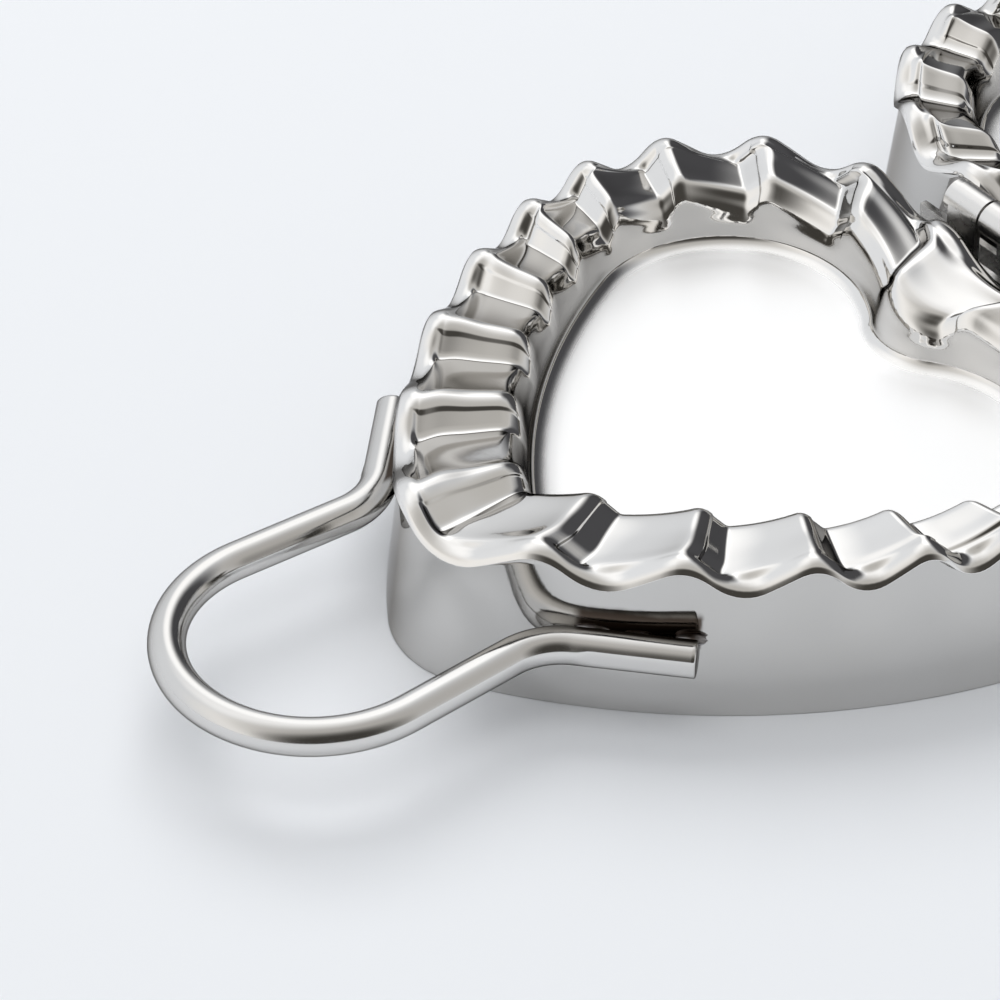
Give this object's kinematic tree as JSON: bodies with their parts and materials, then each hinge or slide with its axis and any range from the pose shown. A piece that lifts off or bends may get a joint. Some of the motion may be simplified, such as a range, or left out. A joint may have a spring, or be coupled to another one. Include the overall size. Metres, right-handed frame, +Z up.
{
  "type": "empanada press",
  "caption": "Heart shaped stainless steel empanada press that folds like a book, with ruffled rims, cutter skirts and a bent wire handle at each point, opened flat.",
  "frame": {"origin": "centre of the footprint under the hinge pin, on the table", "axes": "+X from the pictured half towards the other half along the heart axis, +Y along the hinge pin, +Z up"},
  "size_m": [0.1966, 0.072, 0.0177],
  "materials": {
    "polished_sheet": "mirror polished stainless sheet",
    "polished_wire": "polished stainless wire",
    "hinge_steel": "polished stainless strip and rod",
    "weld_metal": "darker spot weld metal"
  },
  "bodies": {
    "front_half": {"front_pressing_plate": "polished_sheet", "front_cutter_skirt": "polished_sheet", "front_handle_wire": "polished_wire", "front_handle_welds": "weld_metal", "front_hinge_leaf": "hinge_steel", "front_hinge_welds": "weld_metal", "hinge_pin": "hinge_steel"},
    "rear_half": {"rear_pressing_plate": "polished_sheet", "rear_cutter_skirt": "polished_sheet", "rear_handle_wire": "polished_wire", "rear_handle_welds": "weld_metal", "rear_hinge_leaf": "hinge_steel", "rear_hinge_welds": "weld_metal"}
  },
  "joints": [
    {"name": "press_hinge", "type": "hinge", "parent": "front_half", "child": "rear_half", "pos_m": [0, 0, 0.0159], "axis": [0, -1, 0], "range_deg": [0, 180]}
  ]
}
